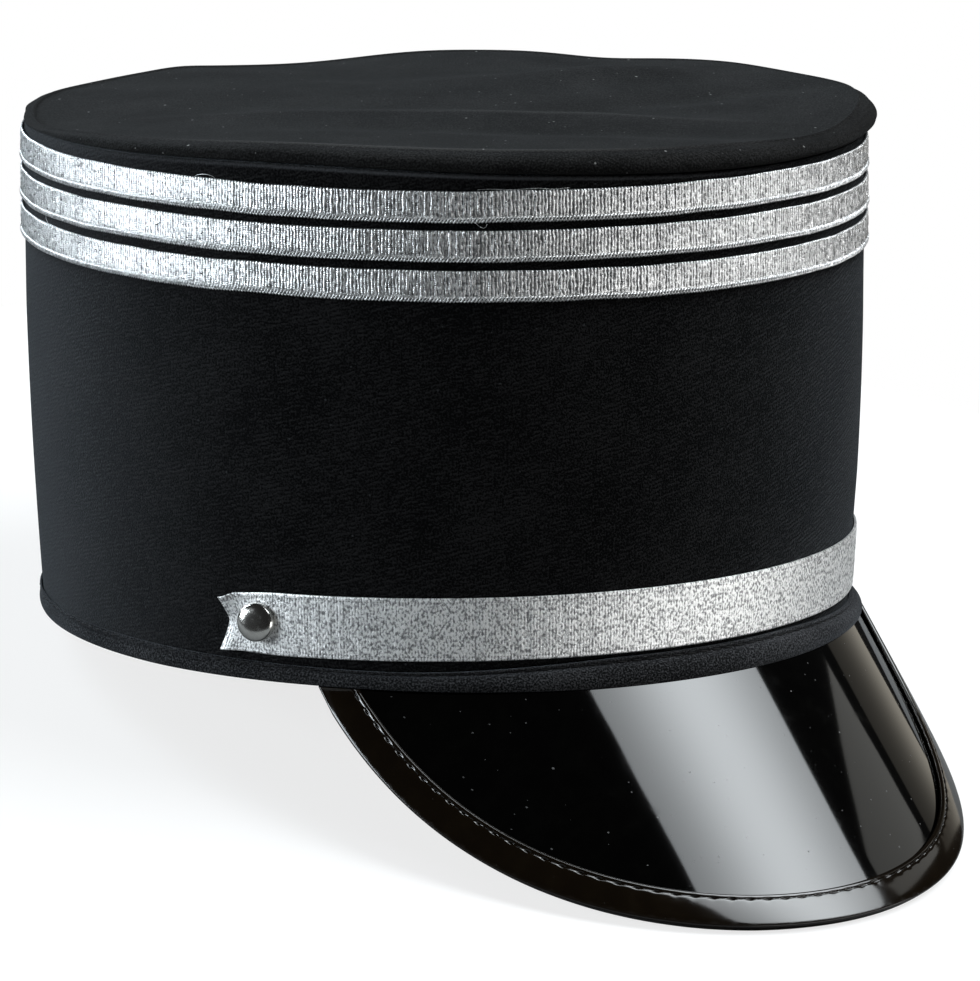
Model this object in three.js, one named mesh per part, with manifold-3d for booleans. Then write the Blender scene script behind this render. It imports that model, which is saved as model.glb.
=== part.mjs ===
// A costume kepi: a cloth crown with a soft top, three ribbons, a front strap on two studs, and a patent peak.
// Lengths are millimetres. The hat is worked out with its hem level and its front facing -Y, then leant back until
// the front edge of the peak and the back of the hem both touch the surface that it lies on.
// An angle round the hat is in degrees: 0 at the front, and growing towards the wearer's right, which is -X.

import * as THREE from "three";
import { mergeVertices } from "three/addons/utils/BufferGeometryUtils.js";
import Module from "manifold-3d";

// Crown wall
const headLength = 196;
const headWidth = 180.2;
const crownHeight = 114;
const topFlare = 0.03;
const wallSwell = 1.3;
const wallThickness = 2.0;
const seat = 0.3;

// Top panel: the seam where it meets the wall, and the crest of its puffed lip, round the hat
const lipSections = [
  { angle: -180, seam: 110.6, crest: 113.2 },
  { angle: -150, seam: 110.7, crest: 113.9 },
  { angle: -120, seam: 110.8, crest: 115.4 },
  { angle: -90, seam: 111.0, crest: 117.0 },
  { angle: -60, seam: 111.0, crest: 118.2 },
  { angle: -30, seam: 111.2, crest: 117.2 },
  { angle: 0, seam: 111.5, crest: 116.8 },
  { angle: 30, seam: 113.2, crest: 117.9 },
  { angle: 60, seam: 114.4, crest: 118.3 },
  { angle: 90, seam: 112.8, crest: 115.6 },
  { angle: 120, seam: 111.7, crest: 114.2 },
  { angle: 150, seam: 111.0, crest: 113.7 },
];
// The lip overhangs the wall by this much for each square millimetre of its rise. Its rows run from the crest down to
// the seam: inset from the wall's face, share of the overhang, share of the rise. The panel's rows are shares of the
// way from its middle to the crest.
const lipOverhang = 0.065;
const topThickness = 1.6;
const topMiddle = 116.2;
const crestInset = 5;
const lipFootOut = 0.2;
const lipRows = [
  { inset: crestInset, overhang: 0, rise: 1 },
  { inset: 2.0, overhang: 0, rise: 0.95 },
  { inset: 0, overhang: 0.5, rise: 0.72 },
  { inset: 0, overhang: 1, rise: 0.36 },
  { inset: -lipFootOut, overhang: 0, rise: 0 },
];
const topShares = [0.14, 0.28, 0.42, 0.55, 0.68, 0.8, 0.91];
const underShares = [0.91, 0.68, 0.42];
const topFolds = [
  { x: -4, y: -36, heading: -44, reach: 75, spread: 9, rise: 1.3 },
  { x: -17, y: -53, heading: -44, reach: 70, spread: 8, rise: -1.0 },
  { x: 8, y: -18, heading: -42, reach: 70, spread: 11, rise: -0.9 },
  { x: 22, y: 6, heading: -38, reach: 60, spread: 13, rise: 0.8 },
  { x: 30, y: 42, heading: -25, reach: 45, spread: 13, rise: -0.7 },
];

// Ribbons round the wall: the lower edge of each above the hem
const ribbonWidth = 6.85;
const ribbonThickness = 0.6;
const ribbons = [
  { name: "braid_lower", foot: 85.75 },
  { name: "braid_middle", foot: 94.4 },
  { name: "braid_upper", foot: 103.05 },
];

// Strap across the front: it climbs a little towards the front, and its tails are drawn in by the studs
const strapFoot = 3.7;
const strapClimb = 0.0304;
const strapWidth = 14.2;
const strapTailAngle = 70.4;
const strapNotch = 2.5;
const tailTaperAngle = 9;
const tailDropTop = 1.8;
const tailRiseFoot = 0.5;

// Domed studs
const studAngle = 65;
const studHeight = 12.3;
const studRadius = 4.05;
const studRise = 2.4;
const studRim = 0.6;

// Rolled strip round the hem: it hangs lower at the sides and back, and bulges more over the peak
const hemHeightSide = 4.4;
const hemRiseFront = 1.4;
const hemSag = 2.6;
const hemSagAngles = [38, 88];
const hemBulgeBack = 1.8;
const hemBulgeFront = 3.0;
const hemBulgeAngles = [40, 80];
const wallFootAboveHem = 0.6;
const hemRound = 0.7;
const hemRows = [
  { level: 0.18, inset: 0 },
  { level: 0.55, inset: 0 },
  { level: 0.85, inset: 0.5 },
];

// Peak: a sheet bent round the front of the oval, sloping forward and down, cut to a rounded flat pattern
const peakSlope = 46;
const peakRootHeight = 3.0;
const peakHalfWidth = 86.6;
const peakDepth = 101.6;
const peakSidePower = 2.0;
const peakFrontPower = 2.2;
const peakThickness = 1.6;

// Strip folded round the peak's edge
const bindingWidth = 8;
const bindingThickness = 1.0;
const bindingRound = 2.0;
const bindingCorner = 0.6;

// How far cloth and leather are pressed flat where the hat touches the surface under it
const restFlat = 0.4;

const roundSteps = 72;
const wallRows = 6;
const strapSteps = 44;
const strapRows = 4;
const peakSteps = 44;
const peakRows = 7;
const arcSteps = 400;
const rad = Math.PI / 180;

const wasm = await Module();
wasm.setup();

const smooth = (low, high, value) => THREE.MathUtils.smoothstep(value, low, high);

// Closed surface from a grid of points: rows of equal length, each row a closed loop, capped at both ends.
function loftLoops(loops, capStart, capEnd) {
  const positions = [];
  const faces = [];
  const count = loops[0].length;
  loops.forEach((loop) => loop.forEach((p) => positions.push(p.x, p.y, p.z)));
  const at = (row, column) => row * count + (column % count);
  for (let row = 0; row + 1 < loops.length; row++) {
    for (let column = 0; column < count; column++) {
      faces.push(at(row, column), at(row, column + 1), at(row + 1, column + 1));
      faces.push(at(row, column), at(row + 1, column + 1), at(row + 1, column));
    }
  }
  const last = loops.length - 1;
  capStart.forEach(([a, b, c]) => faces.push(at(0, a), at(0, b), at(0, c)));
  capEnd.forEach(([a, b, c]) => faces.push(at(last, c), at(last, b), at(last, a)));
  return solidGeometry(positions, faces);
}

// Ring whose section is a closed loop: section(angle) lists the points of the section at an angle round the hat.
function ring(section) {
  const loops = [];
  for (let i = 0; i <= roundSteps; i++) loops.push(section((i % roundSteps) * (360 / roundSteps) - 180));
  return loftLoops(loops, [], []);
}

// Plate with two faces: outer(u, v) and inner(u, v) are its faces over the unit square.
function plate(stepsU, stepsV, outer, inner) {
  const loops = [];
  for (let i = 0; i <= stepsU; i++) {
    const loop = [];
    for (let j = 0; j <= stepsV; j++) loop.push(outer(i / stepsU, j / stepsV));
    for (let j = stepsV; j >= 0; j--) loop.push(inner(i / stepsU, j / stepsV));
    loops.push(loop);
  }
  const cap = [];
  for (let j = 0; j < stepsV; j++) {
    const far = 2 * stepsV + 1 - j;
    cap.push([j, far, j + 1], [j + 1, far, far - 1]);
  }
  return loftLoops(loops, cap, cap);
}

// Geometry of a closed body, turned to face out.
function solidGeometry(positions, faces) {
  const build = (indices) => {
    const geometry = new THREE.BufferGeometry();
    geometry.setAttribute("position", new THREE.Float32BufferAttribute(positions, 3));
    geometry.setIndex(indices);
    return mergeVertices(geometry, 1e-4);
  };
  const made = build(faces);
  if (signedVolume(made) > 0) return made;
  const turned = [];
  for (let i = 0; i < faces.length; i += 3) turned.push(faces[i], faces[i + 2], faces[i + 1]);
  return build(turned);
}

function signedVolume(geometry) {
  const p = geometry.attributes.position;
  const index = geometry.index;
  const [a, b, c] = [new THREE.Vector3(), new THREE.Vector3(), new THREE.Vector3()];
  let sum = 0;
  for (let i = 0; i < index.count; i += 3) {
    a.fromBufferAttribute(p, index.getX(i));
    b.fromBufferAttribute(p, index.getX(i + 1));
    c.fromBufferAttribute(p, index.getX(i + 2));
    sum += a.dot(b.cross(c)) / 6;
  }
  return sum;
}

function toManifold(geometry) {
  const bare = geometry.clone();
  bare.deleteAttribute("normal");
  bare.deleteAttribute("uv");
  const merged = mergeVertices(bare, 1e-4);
  const vertProperties = new Float32Array(merged.attributes.position.array);
  const triVerts = new Uint32Array(merged.index.array);
  return new wasm.Manifold(new wasm.Mesh({ numProp: 3, vertProperties, triVerts }));
}

function fromManifold(solid) {
  const mesh = solid.getMesh();
  const geometry = new THREE.BufferGeometry();
  geometry.setAttribute("position", new THREE.BufferAttribute(mesh.vertProperties, 3));
  geometry.setIndex(new THREE.BufferAttribute(mesh.triVerts, 1));
  return geometry;
}

// Point of the wall at an angle and height, moved out from its outer face.
function wallPoint(angle, height, out) {
  const level = height / crownHeight;
  const scale = 1 + topFlare * level;
  const swell = wallSwell * 4 * level * (1 - level);
  const x = -((headWidth / 2) * scale + swell + out) * Math.sin(angle * rad);
  const y = -((headLength / 2) * scale + swell + out) * Math.cos(angle * rad);
  return new THREE.Vector3(x, y, height);
}

// Value of a column of the lip's sections at an angle, by a periodic cubic through the rows.
function lipValue(column, angle) {
  const count = lipSections.length;
  const place = ((angle + 180) / 360) * count;
  const row = Math.floor(place);
  const t = place - row;
  const [a, b, c, d] = [-1, 0, 1, 2].map((k) => lipSections[(row + k + count) % count][column]);
  return b + 0.5 * t * (c - a + t * (2 * a - 5 * b + 4 * c - d + t * (3 * (b - c) + d - a)));
}

const hemFoot = (angle) => -hemSag * smooth(hemSagAngles[0], hemSagAngles[1], Math.abs(angle));
const hemTop = (angle) => hemHeightSide + hemRiseFront * Math.max(0, Math.cos(angle * rad)) ** 2;
const hemBulge = (angle) =>
  THREE.MathUtils.lerp(hemBulgeFront, hemBulgeBack, smooth(hemBulgeAngles[0], hemBulgeAngles[1], Math.abs(angle)));

function crownWall() {
  return ring((angle) => {
    const foot = hemFoot(angle) + wallFootAboveHem;
    const top = lipValue("seam", angle) - seat / 2;
    const height = (j) => THREE.MathUtils.lerp(foot, top, j / (wallRows - 1));
    const section = [];
    for (let j = 0; j < wallRows; j++) section.push(wallPoint(angle, height(j), 0));
    for (let j = wallRows - 1; j >= 0; j--) section.push(wallPoint(angle, height(j), -wallThickness));
    return section;
  });
}

// Height of the top panel inside its crest: it sinks or rises from the crest to the middle, with soft folds across.
function topHeight(x, y, share, angle) {
  const base = THREE.MathUtils.lerp(topMiddle, lipValue("crest", angle), share ** 2);
  let folds = 0;
  topFolds.forEach((fold) => {
    const c = Math.cos(fold.heading * rad);
    const s = Math.sin(fold.heading * rad);
    const along = ((x - fold.x) * c + (y - fold.y) * s) / fold.reach;
    const across = ((y - fold.y) * c - (x - fold.x) * s) / fold.spread;
    folds += fold.rise * Math.exp(-(along ** 2) - across ** 2);
  });
  return base + folds * (1 - share ** 6);
}

function topPanel() {
  const field = (angle, share, drop) => {
    const edge = wallPoint(angle, lipValue("crest", angle), -crestInset);
    const [x, y] = [edge.x * share, edge.y * share];
    return new THREE.Vector3(x, y, topHeight(x, y, share, angle) - drop);
  };
  const lipHeight = (angle, rise) =>
    THREE.MathUtils.lerp(lipValue("seam", angle) + seat / 2, lipValue("crest", angle), rise);
  const puff = (angle) => lipOverhang * (lipValue("crest", angle) - lipValue("seam", angle)) ** 2;
  const lip = (angle, row) => wallPoint(angle, lipHeight(angle, row.rise), puff(angle) * row.overhang - row.inset);
  const loopOf = (point) => {
    const loop = [];
    for (let i = 0; i < roundSteps; i++) loop.push(point(i * (360 / roundSteps) - 180));
    return loop;
  };
  const centre = (drop) => new THREE.Vector3(0, 0, topHeight(0, 0, 0, 0) - drop);
  const loops = [
    loopOf(() => centre(0)),
    ...topShares.map((share) => loopOf((angle) => field(angle, share, 0))),
    ...lipRows.map((row) => loopOf((angle) => lip(angle, row))),
    loopOf((angle) => wallPoint(angle, lipHeight(angle, 0), lipFootOut - topThickness)),
    loopOf((angle) => wallPoint(angle, lipValue("crest", angle) - topThickness, puff(angle) / 2 - topThickness)),
    ...underShares.map((share) => loopOf((angle) => field(angle, share, topThickness))),
    loopOf(() => centre(topThickness)),
  ];
  return loftLoops(loops, [], []);
}

function ribbon(foot) {
  const head = foot + ribbonWidth;
  return ring((angle) => [
    wallPoint(angle, foot, seat),
    wallPoint(angle, foot, seat + ribbonThickness),
    wallPoint(angle, head, seat + ribbonThickness),
    wallPoint(angle, head, seat),
  ]);
}

// Strap: u runs round the front from tail to tail, v from the lower edge to the upper one.
function frontStrap() {
  const wallSpeed = wallPoint(strapTailAngle + 0.5, 0, 0).distanceTo(wallPoint(strapTailAngle - 0.5, 0, 0));
  const face = (out) => (u, v) => {
    const notchAngle = (strapNotch / wallSpeed) * (1 - Math.abs(2 * v - 1));
    const angle = (strapTailAngle - notchAngle) * (1 - 2 * u);
    const forward = -wallPoint(angle, 0, 0).y;
    const tail = smooth(strapTailAngle - tailTaperAngle, strapTailAngle, Math.abs(angle));
    const foot = strapFoot + strapClimb * forward + tailRiseFoot * tail;
    const head = strapFoot + strapClimb * forward + strapWidth - tailDropTop * tail;
    return wallPoint(angle, THREE.MathUtils.lerp(foot, head, v), out);
  };
  return plate(strapSteps, strapRows, face(seat + ribbonThickness), face(seat));
}

// Stud: a shallow dome on a short upright rim, turned round its own axis, flat underneath.
function stud() {
  const profile = [new THREE.Vector2(0, 0), new THREE.Vector2(studRadius, 0)];
  const domeSteps = 6;
  for (let i = 0; i <= domeSteps; i++) {
    const turn = (i / domeSteps) * 90 * rad;
    profile.push(new THREE.Vector2(studRadius * Math.cos(turn), studRim + (studRise - studRim) * Math.sin(turn)));
  }
  profile[profile.length - 1].x = 0;
  const geometry = new THREE.LatheGeometry(profile, 24);
  geometry.deleteAttribute("normal");
  geometry.deleteAttribute("uv");
  return mergeVertices(geometry, 1e-4);
}

function placeStud(mesh, angle) {
  const base = wallPoint(angle, studHeight, 0);
  const along = wallPoint(angle + 1, studHeight, 0).sub(wallPoint(angle - 1, studHeight, 0));
  const upward = wallPoint(angle, studHeight + 1, 0).sub(wallPoint(angle, studHeight - 1, 0));
  const outward = upward.cross(along).normalize();
  const clearance = 2 * seat + ribbonThickness;
  mesh.position.copy(base).addScaledVector(outward, clearance);
  mesh.quaternion.setFromUnitVectors(new THREE.Vector3(0, 1, 0), outward);
}

function hemBinding() {
  return ring((angle) => {
    const foot = hemFoot(angle);
    const head = hemTop(angle);
    const bulge = hemBulge(angle);
    const belly = hemRows.map(({ level, inset }) =>
      wallPoint(angle, THREE.MathUtils.lerp(foot, head, level), bulge - inset),
    );
    return [
      wallPoint(angle, foot, seat),
      wallPoint(angle, foot, bulge - hemRound),
      ...belly,
      wallPoint(angle, head, seat + hemRound),
      wallPoint(angle, head, seat),
    ];
  });
}

// The peak is a cylinder whose straight lines run forward and down. Its flat pattern has two directions:
// across, the arc measured round the cylinder, and down, the distance along the straight lines.
const slopeSin = Math.sin(peakSlope * rad);
const slopeCos = Math.cos(peakSlope * rad);
const rootScale = 1 + topFlare * (peakRootHeight / crownHeight);
const rootLength = (headLength / 2) * rootScale;
const rootWidth = (headWidth / 2) * rootScale;
const downLine = new THREE.Vector3(0, -slopeCos, -slopeSin);
const frontNormal = new THREE.Vector3(0, -slopeSin, slopeCos);

// Arc round the cylinder from its middle line, for angles from 0 to 90 degrees.
const arcTable = [0];
for (let i = 1; i <= arcSteps; i++) {
  const middle = ((i - 0.5) / arcSteps) * 90 * rad;
  const speed = Math.hypot(rootWidth * Math.cos(middle), rootLength * slopeSin * Math.sin(middle));
  arcTable.push(arcTable[i - 1] + (speed * 90 * rad) / arcSteps);
}

function angleAtArc(across) {
  const arc = Math.abs(across);
  const after = arcTable.findIndex((value) => value > arc);
  const share = (arc - arcTable[after - 1]) / (arcTable[after] - arcTable[after - 1]);
  return Math.sign(across) * ((after - 1 + share) / arcSteps) * 90;
}

// Cylinder's section at a place across: its angle, its position and its outward normal in the section's plane.
function peakSection(across) {
  const angle = angleAtArc(across);
  const side = -rootWidth * Math.sin(angle * rad);
  const rise = rootLength * slopeSin * Math.cos(angle * rad) + peakRootHeight * slopeCos;
  const normal = new THREE.Vector2(-Math.sin(angle * rad) / rootWidth, Math.cos(angle * rad) / (rootLength * slopeSin));
  return { angle, side, rise, normal: normal.normalize() };
}

function peakPoint(across, down, lift) {
  const { side, rise, normal } = peakSection(across);
  return new THREE.Vector3(side + lift * normal.x, 0, 0)
    .addScaledVector(frontNormal, rise + lift * normal.y)
    .addScaledVector(downLine, down);
}

// Where a straight line of the peak starts, so that its end lies just under the hem.
function peakStart(across, lift) {
  const { angle, rise, normal } = peakSection(across);
  return ((rise + lift * normal.y) * slopeCos - (hemFoot(angle) - seat)) / slopeSin;
}

const ringDown = (angle) => rootLength * slopeCos * Math.cos(angle * rad) - peakRootHeight * slopeSin;
const endDown = ringDown(angleAtArc(peakHalfWidth));

// Cut edge of the flat pattern, a rounded outline from one side to the other, moved inwards by a margin.
function peakOutline(turn, margin) {
  const point = (t) =>
    new THREE.Vector2(
      peakHalfWidth * Math.sign(Math.cos(t)) * Math.abs(Math.cos(t)) ** (2 / peakSidePower),
      endDown + peakDepth * Math.abs(Math.sin(t)) ** (2 / peakFrontPower),
    );
  const step = 1e-4;
  const tangent = point(turn + step).sub(point(turn - step)).normalize();
  const inward = new THREE.Vector2(-tangent.y, tangent.x);
  return point(turn).addScaledVector(inward, margin);
}

// Strip with a U-shaped section: margin in from the peak's cut edge, and lift from the peak's upper face.
const bindingTop = seat + bindingThickness;
const bindingFoot = -peakThickness - seat - bindingThickness;
const bindingSection = [
  { margin: bindingWidth, lift: bindingTop },
  { margin: bindingRound, lift: bindingTop },
  { margin: bindingCorner, lift: bindingTop - bindingCorner },
  { margin: 0, lift: -peakThickness / 2 },
  { margin: bindingCorner, lift: bindingFoot + bindingCorner },
  { margin: bindingRound, lift: bindingFoot },
  { margin: bindingWidth, lift: bindingFoot },
  { margin: bindingWidth, lift: bindingFoot + bindingThickness },
  { margin: bindingRound, lift: bindingFoot + bindingThickness },
  { margin: bindingRound, lift: seat },
  { margin: bindingWidth, lift: seat },
];

// First turn of the outline at which the whole section of the strip lies below the hem.
function findFirstTurn() {
  const clear = 1;
  const below = (turn) =>
    bindingSection.every(({ margin, lift }) => {
      const p = peakOutline(turn, margin);
      return p.y - peakStart(p.x, lift) > clear;
    });
  let [low, high] = [0.001, Math.PI / 4];
  for (let i = 0; i < 40; i++) {
    const middle = (low + high) / 2;
    if (below(middle)) high = middle;
    else low = middle;
  }
  return high;
}
const firstTurn = findFirstTurn();

// Turns crowd towards the ends, where the outline bends most.
function turnAt(u) {
  const even = u - Math.sin(2 * Math.PI * u) / (4 * Math.PI);
  return firstTurn + even * (Math.PI - 2 * firstTurn);
}

function peakSheet() {
  const margin = bindingRound + seat;
  const face = (lift) => (u, v) => {
    const edge = peakOutline(turnAt(u), margin);
    return peakPoint(edge.x, THREE.MathUtils.lerp(peakStart(edge.x, lift), edge.y, v), lift);
  };
  return plate(peakSteps, peakRows, face(0), face(-peakThickness));
}

function peakBinding() {
  const loopAt = (turn, level) =>
    bindingSection.map(({ margin, lift }) => {
      const p = peakOutline(turn, margin);
      return peakPoint(p.x, level ? peakStart(p.x, lift) : p.y, lift);
    });
  const loops = [loopAt(firstTurn, true)];
  for (let i = 0; i <= peakSteps; i++) loops.push(loopAt(turnAt(i / peakSteps), false));
  loops.push(loopAt(Math.PI - firstTurn, true));
  const cap = [
    [0, 10, 9],
    [0, 9, 1],
    [1, 9, 2],
    [2, 9, 3],
    [3, 9, 8],
    [3, 8, 4],
    [4, 8, 5],
    [5, 8, 7],
    [5, 7, 6],
  ];
  return loftLoops(loops, cap, cap);
}

// The hat leans back until the lowest corner behind and the lowest corner in front are level.
const backFoot = wallPoint(180, hemFoot(180), hemBulge(180) - hemRound);
const tipFoot = peakPoint(0, endDown + peakDepth - bindingRound, bindingFoot);
const restTilt = Math.atan2(backFoot.z - tipFoot.z, backFoot.y - tipFoot.y);
const restLevel = backFoot.clone().applyAxisAngle(new THREE.Vector3(1, 0, 0), -restTilt).z + restFlat;

// The part of a piece below the surface is pressed flat.
function pressedFlat(geometry) {
  const depth = 20;
  const under = new THREE.BoxGeometry(400, 500, depth);
  under.translate(0, 0, restLevel - depth / 2);
  under.rotateX(restTilt);
  return fromManifold(toManifold(geometry).subtract(toManifold(under)));
}

const cloth = { color: 0x17181b, roughness: 0.85, metalness: 0 };
const topCloth = { color: 0x26272b, roughness: 0.9, metalness: 0 };
const silver = { color: 0xb4b8c0, roughness: 0.42, metalness: 0.6 };
const chrome = { color: 0xdfe2e6, roughness: 0.15, metalness: 1 };
const patent = { color: 0x0d0e10, roughness: 0.12, metalness: 0 };

const hat = new THREE.Group();
function add(name, geometry, look) {
  geometry.computeVertexNormals();
  const mesh = new THREE.Mesh(geometry, new THREE.MeshStandardMaterial(look));
  mesh.name = name;
  hat.add(mesh);
  return mesh;
}

add("crown_wall", crownWall(), cloth);
add("top_panel", topPanel(), topCloth);
ribbons.forEach(({ name, foot }) => add(name, ribbon(foot), silver));
add("front_strap", frontStrap(), silver);
placeStud(add("rivet_right", stud(), chrome), studAngle);
placeStud(add("rivet_left", stud(), chrome), -studAngle);
add("hem_binding", pressedFlat(hemBinding()), cloth);
add("peak", peakSheet(), patent);
add("peak_binding", pressedFlat(peakBinding()), patent);

// Origin on the surface, under the middle of the hat's box.
const kepi = new THREE.Group();
kepi.add(hat);
hat.rotation.x = -restTilt;
kepi.updateMatrixWorld(true);
const box = new THREE.Box3().setFromObject(kepi, true);
const middle = box.getCenter(new THREE.Vector3());
hat.position.set(-middle.x, -middle.y, -box.min.z);

export default kepi;
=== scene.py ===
import bmesh
import bpy
import numpy as np
from mathutils import Matrix


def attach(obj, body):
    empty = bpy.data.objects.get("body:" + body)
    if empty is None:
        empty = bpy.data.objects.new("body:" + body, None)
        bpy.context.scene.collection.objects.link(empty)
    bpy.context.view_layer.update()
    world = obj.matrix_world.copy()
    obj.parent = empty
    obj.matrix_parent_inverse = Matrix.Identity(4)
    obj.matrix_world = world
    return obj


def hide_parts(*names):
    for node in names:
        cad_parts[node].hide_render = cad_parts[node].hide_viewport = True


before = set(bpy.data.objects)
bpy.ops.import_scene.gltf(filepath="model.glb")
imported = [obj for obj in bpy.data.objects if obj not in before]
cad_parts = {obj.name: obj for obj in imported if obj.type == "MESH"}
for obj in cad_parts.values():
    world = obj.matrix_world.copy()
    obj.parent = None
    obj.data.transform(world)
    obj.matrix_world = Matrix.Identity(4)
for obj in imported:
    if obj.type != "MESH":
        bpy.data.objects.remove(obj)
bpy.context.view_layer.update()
chance = np.random.default_rng(41)
print("frame:", len(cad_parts), "solids")

# how the hat rests: leant back about the x axis, then set down on the floor (degrees, millimetres)
rest = {"leanDeg": -10.495616, "shift": np.array([-0.57831, 15.95762, 20.17428])}
seat = 0.3  # gap that every sewn-on piece keeps from what is under it, mm


def smooth(low, high, value):
    # 0 below low, 1 above high, and an S-curve 3t^2 - 2t^3 between them
    t = np.clip((value - low) / (high - low), 0, 1)
    return t * t * (3 - 2 * t)


def mix(a, b, share):
    # straight blend from a to b
    return a + (b - a) * share


def bell(value, middle, spread):
    # bump of height 1 round the middle: exp of minus the square of the distance in spreads
    return np.exp(-(((value - middle) / spread) ** 2))


def cubic(a, b, c, d, t):
    # curve from b at t = 0 to c at t = 1, with half of c - a and half of d - b as its slopes there
    return b + 0.5 * t * (c - a + t * (2 * a - 5 * b + 4 * c - d + t * (3 * (b - c) + d - a)))


def unit(vectors):
    # the same directions, each divided by its length
    return vectors / np.linalg.norm(vectors, axis=-1, keepdims=True)


def joined(*parts):
    # arrays spread to one shape and set side by side as the coordinates of points
    return np.stack(np.broadcast_arrays(*parts), -1)


def swing(a, b, degrees):
    # two square directions turned in their plane: a cos t + b sin t, and b cos t - a sin t
    t = np.radians(degrees)
    return a * np.cos(t) + b * np.sin(t), b * np.cos(t) - a * np.sin(t)


def turnBack(vectors):
    # turn about the x axis by the lean: y' = y cos t - z sin t, z' = y sin t + z cos t
    x, y, z = np.moveaxis(np.asarray(vectors, float), -1, 0)
    return np.stack([x, *swing(y, z, -rest["leanDeg"])], -1)


def onFloor(points):
    # hat with its hem level, in millimetres, to the hat at rest, in metres; what would sink is pressed flat
    placed = (turnBack(points) + rest["shift"]) / 1000
    placed[..., 2] = np.maximum(placed[..., 2], 0)
    return placed


def cutCorners(section, times):
    # corner cutting down the rows: each edge keeps its points at 1/4 and 3/4, and the two ends stay
    for _ in range(times):
        near = 0.75 * section[:-1] + 0.25 * section[1:]
        far = 0.25 * section[:-1] + 0.75 * section[1:]
        inner = np.stack([near, far], 1).reshape(-1, *section.shape[1:])
        section = np.concatenate([section[:1], inner[1:-1], section[-1:]])
    return section


def rowLengths(points):
    # distance run down the rows of a grid, or along a line of points, from the first
    steps = np.linalg.norm(np.diff(points, axis=0), axis=-1)
    return np.concatenate([0 * steps[:1], np.cumsum(steps, 0)])


def drift(count, knots, size):
    # slow closed random wave of that many samples: a sine series with seeded phases, fading as 1/k
    turn = np.linspace(0, 2 * np.pi, count, endpoint=False)
    k = np.arange(1, knots + 1)[:, None]
    phase = chance.uniform(0, 2 * np.pi, (knots, 1))
    return size * (np.sin(k * turn + phase) / np.sqrt(k)).sum(0) / np.sqrt(np.log(knots + 1) + 1)


def gridMesh(name, points, uv, around=False, closed=False, poles=False, ends=False, sharpDeg=None, rise=None):
    # faces between neighbouring rows and columns of points[row, column], set on the floor: around joins the last
    # column to the first, closed joins the last row to the first, poles merges rows that meet in one point, ends fills
    # both end columns with a face, or with a strip where the rows go out and come back in pairs; uv holds one more row
    # or column where the grid closes, and rise is one value for each point that the material reads
    points = onFloor(points)
    rows, columns = points.shape[:2]
    r = np.arange(rows if closed else rows - 1)[:, None]
    c = np.arange(columns if around else columns - 1)[None, :]
    corners = [(r, c), (r + 1, c), (r + 1, c + 1), (r, c + 1)]
    quads = np.stack([(a % rows) * columns + b % columns for a, b in corners], -1).reshape(-1, 4)
    cornerUv = np.stack([uv[a, b] for a, b in corners], 2).reshape(-1, 2)
    faces = quads.tolist()
    if ends == "strip":
        k = np.arange(rows // 2 - 1)
        strip = np.stack([k, k + 1, rows - 2 - k, rows - 1 - k], -1)
        faces += (strip[:, ::-1] * columns).tolist() + (strip * columns + columns - 1).tolist()
        cornerUv = np.concatenate([cornerUv, uv[strip[:, ::-1], 0].reshape(-1, 2), uv[strip, -1].reshape(-1, 2)])
    elif ends:
        first = np.arange(rows) * columns
        faces += [first[::-1].tolist(), (first + columns - 1).tolist()]
        cornerUv = np.concatenate([cornerUv, uv[:rows, 0][::-1], uv[:rows, -1]])
    flat = points.reshape(-1, 3)
    p = flat[quads]
    volume = (np.cross(p[:, 0], p[:, 1]) * p[:, 2] + np.cross(p[:, 0], p[:, 2]) * p[:, 3]).sum()
    mesh = bpy.data.meshes.new(name)
    mesh.from_pydata(flat, [], faces)
    layer = mesh.uv_layers.new(name="cloth")
    layer.data.foreach_set("uv", cornerUv.astype(np.float32).ravel())
    if rise is not None:
        mesh.attributes.new("rise", "FLOAT", "POINT").data.foreach_set("value", rise.astype(np.float32).ravel())
    if volume < 0:
        mesh.flip_normals()
    if poles:
        work = bmesh.new()
        work.from_mesh(mesh)
        bmesh.ops.remove_doubles(work, verts=work.verts, dist=1e-8)
        work.to_mesh(mesh)
        work.free()
    mesh.shade_smooth()
    if sharpDeg:
        mesh.set_sharp_from_angle(angle=np.radians(sharpDeg))
    return mesh


def tubeMesh(name, lines, outward, radii, sides):
    # tubes along lines[tube, point], set on the floor: each ring is centre + radius (side cos t + up sin t), with up
    # the outward direction squared off against the line and side across both; a face closes each end
    lines, outward, radii = onFloor(lines), turnBack(outward), radii / 1000
    tubes, stations = lines.shape[:2]
    along = unit(np.gradient(lines, axis=1))
    side = unit(np.cross(along, outward))
    up = np.cross(side, along)
    t = np.arange(sides) / sides * 2 * np.pi
    ring = side[:, :, None] * np.cos(t)[:, None] + up[:, :, None] * np.sin(t)[:, None]
    points = lines[:, :, None] + ring * radii[..., None, None]
    base = (np.arange(tubes) * stations * sides)[:, None, None]
    s = np.arange(stations - 1)[None, :, None] * sides
    k = np.arange(sides)[None, None, :]
    after = (k + 1) % sides
    quads = np.stack([base + s + k, base + s + after, base + s + sides + after, base + s + sides + k], -1)
    startCap = (base[:, 0] + np.arange(sides)[::-1]).tolist()
    endCap = (base[:, 0] + (stations - 1) * sides + np.arange(sides)).tolist()
    mesh = bpy.data.meshes.new(name)
    mesh.from_pydata(points.reshape(-1, 3), [], quads.reshape(-1, 4).tolist() + startCap + endCap)
    mesh.shade_smooth()
    return mesh


def addObject(name, data):
    # a new object of the scene that carries the mesh, lamp or lens
    thing = bpy.data.objects.new(name, data)
    bpy.context.scene.collection.objects.link(thing)
    return thing


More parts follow.
